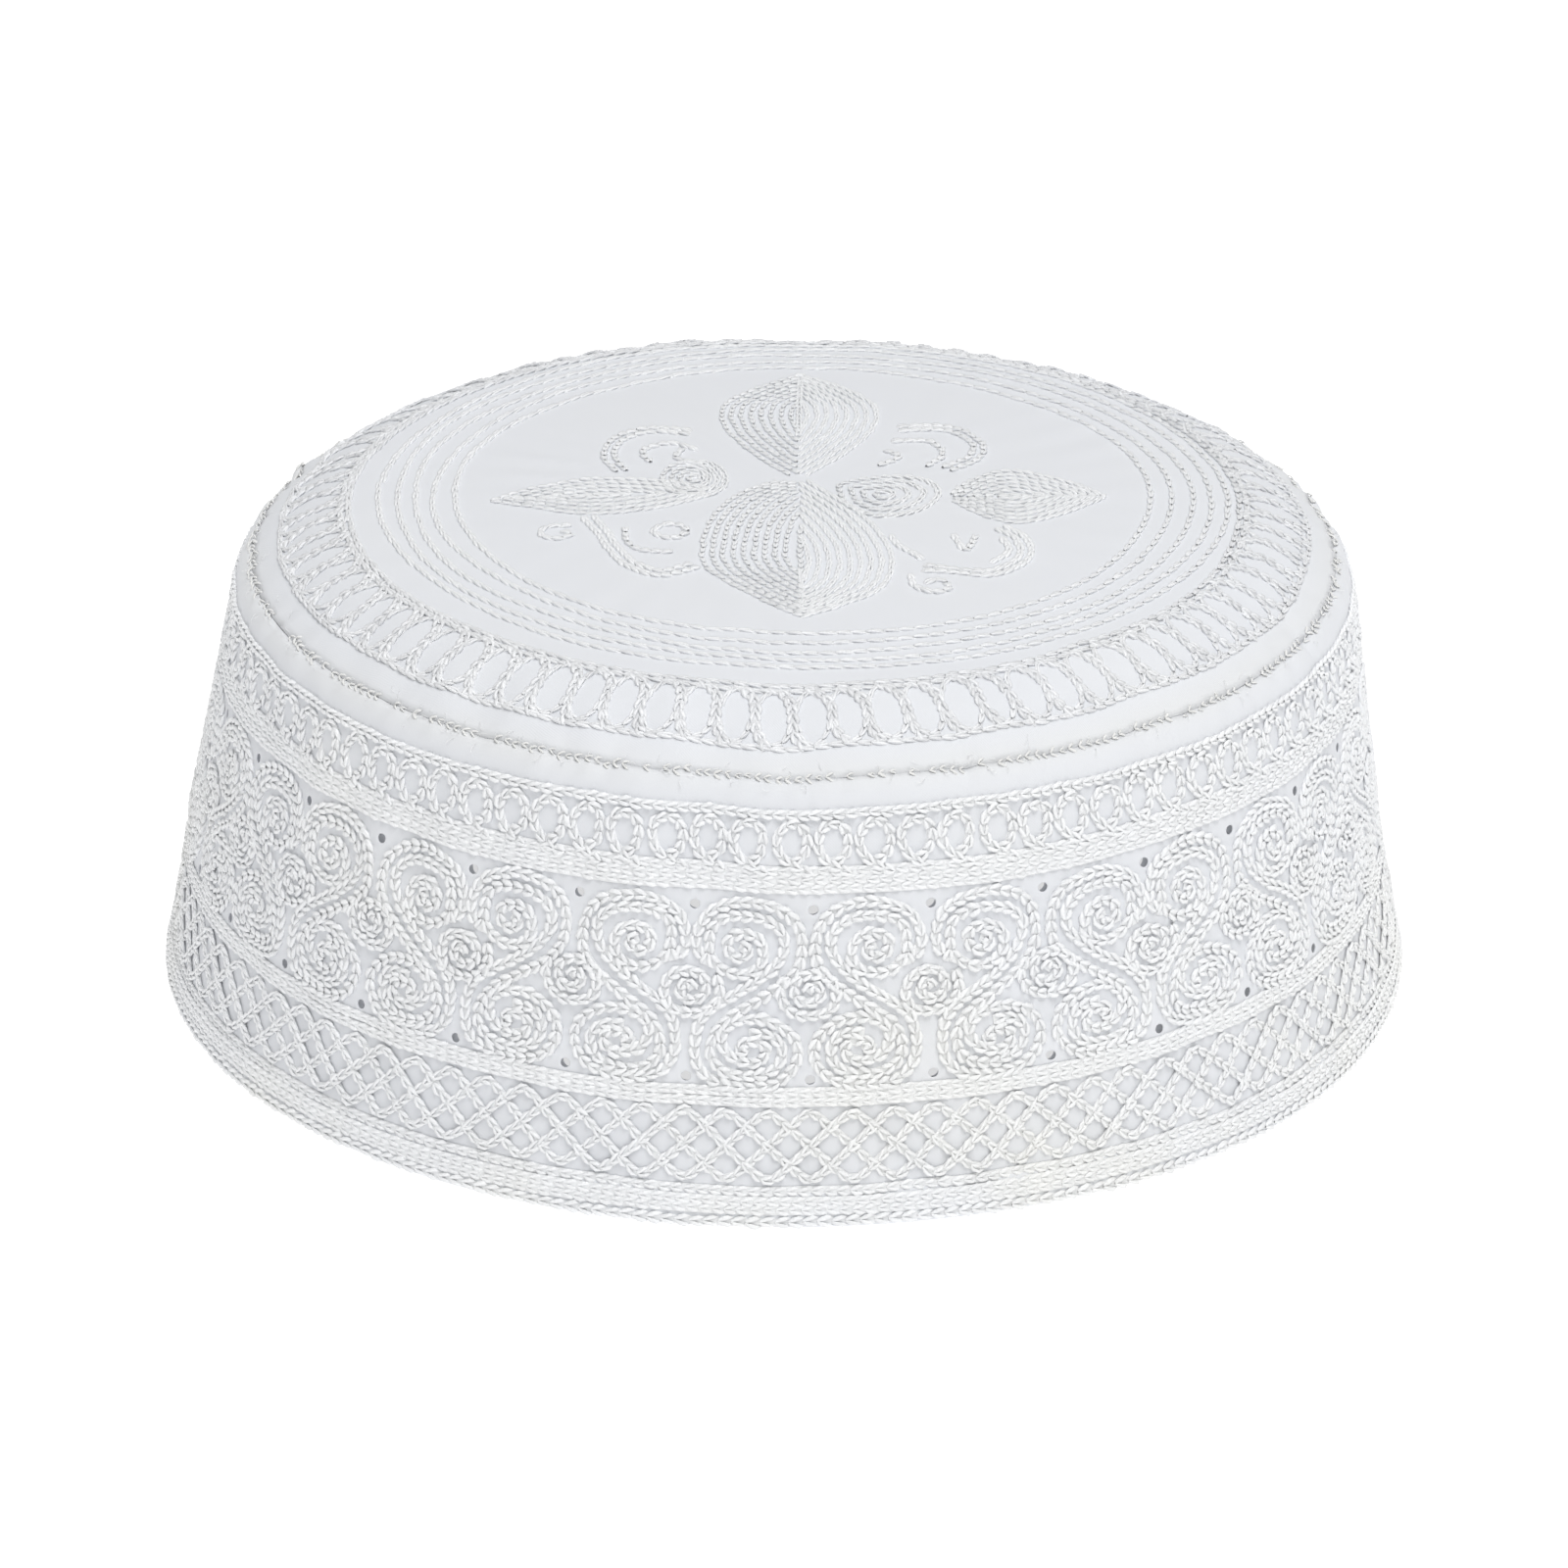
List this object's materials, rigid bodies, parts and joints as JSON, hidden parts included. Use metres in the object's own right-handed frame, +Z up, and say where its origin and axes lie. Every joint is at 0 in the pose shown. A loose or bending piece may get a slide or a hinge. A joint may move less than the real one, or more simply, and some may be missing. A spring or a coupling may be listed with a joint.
{
  "type": "kufi cap",
  "caption": "Round white cotton kufi cap with a tapered embroidered side band, small eyelets, a shallow domed crown and a stitched hem.",
  "frame": {"origin": "middle of the flat lower edge, on the surface the cap rests on", "axes": "+Z up through the crown, -Y towards the front of the picture, +X to its right"},
  "size_m": [0.1856, 0.1856, 0.0722],
  "materials": {
    "crown_cloth": "plain white cotton, smooth and matte with a faint sheen",
    "band_cloth": "stiffened plain white cotton, matte",
    "hem_cloth": "folded white cotton under rows of stitching, matte",
    "thread": "glossy white chain-stitch thread"
  },
  "bodies": {
    "root": {"crown": "crown_cloth", "side_band": "band_cloth", "hem": "hem_cloth"}
  },
  "joints": []
}
